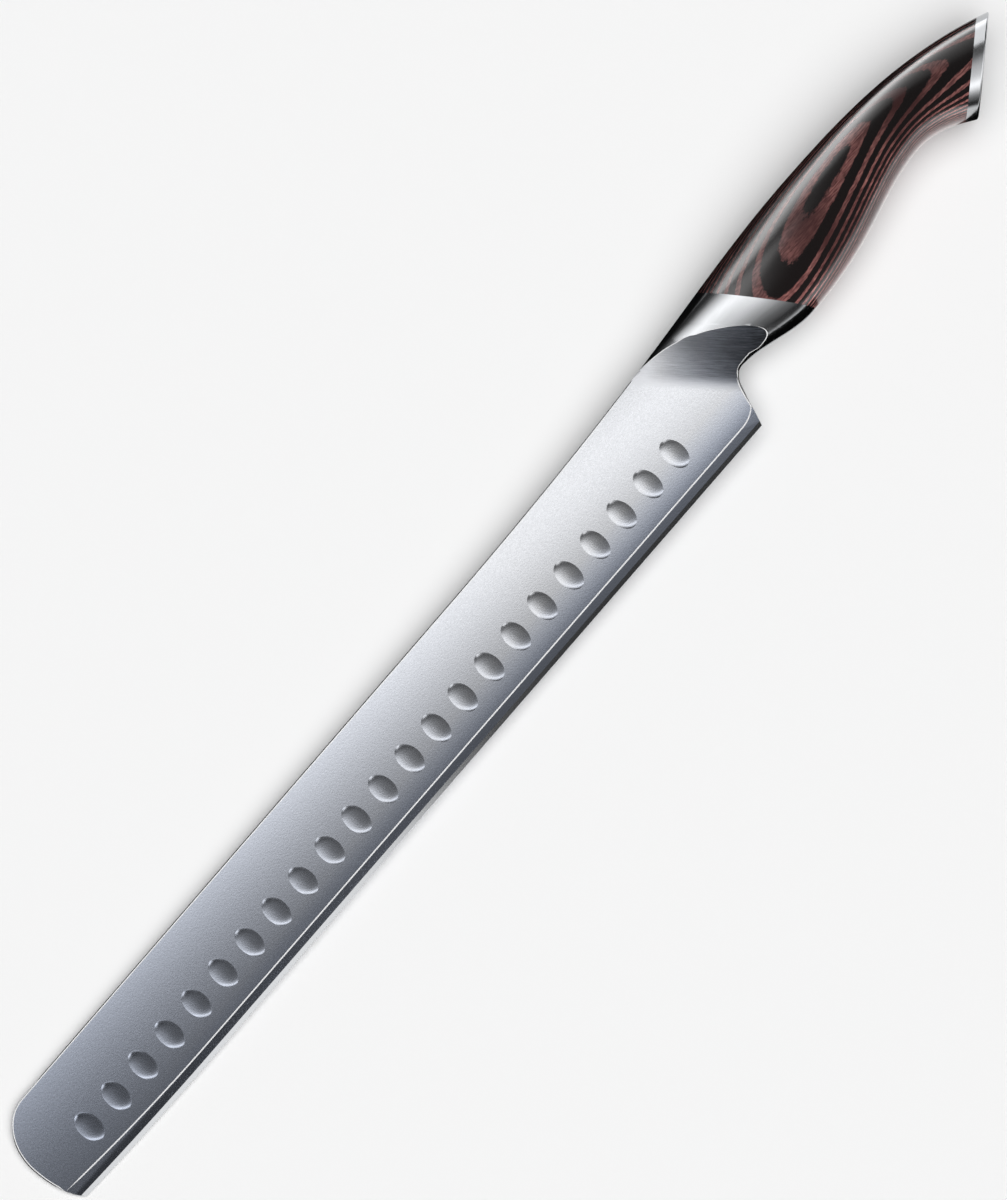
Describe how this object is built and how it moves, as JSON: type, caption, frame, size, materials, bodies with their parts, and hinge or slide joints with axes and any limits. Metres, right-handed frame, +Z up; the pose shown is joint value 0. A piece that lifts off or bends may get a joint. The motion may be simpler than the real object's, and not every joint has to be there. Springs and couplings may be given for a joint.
{
  "type": "salmon slicing knife",
  "caption": "Long straight slicing knife for salmon with a round tip, oval hollows along both blade faces, a polished bolster and a laminated wood grip with a steel end cap.",
  "frame": {"origin": "on the table under the middle of the knife's box, with the knife lying on its right side", "axes": "+X from the tip towards the butt, +Y from the cutting edge towards the spine, +Z up out of the pictured left side"},
  "size_m": [0.442, 0.0422, 0.0214],
  "materials": {
    "blade_steel": "satin flat-ground stainless steel with a fine grain and brighter ground edges",
    "polished_steel": "mirror-polished stainless steel",
    "laminated_wood": "resin-bonded laminated wood in black and dark red layers, polished to a gloss",
    "cured_adhesive": "cured amber adhesive",
    "pin_steel": "plain drawn steel"
  },
  "bodies": {
    "root": {"blade": "blade_steel", "bolster": "polished_steel", "grip_left": "laminated_wood", "grip_right": "laminated_wood", "adhesive_bed": "cured_adhesive", "tang_pin_front": "pin_steel", "tang_pin_rear": "pin_steel", "end_cap": "polished_steel"}
  },
  "joints": []
}
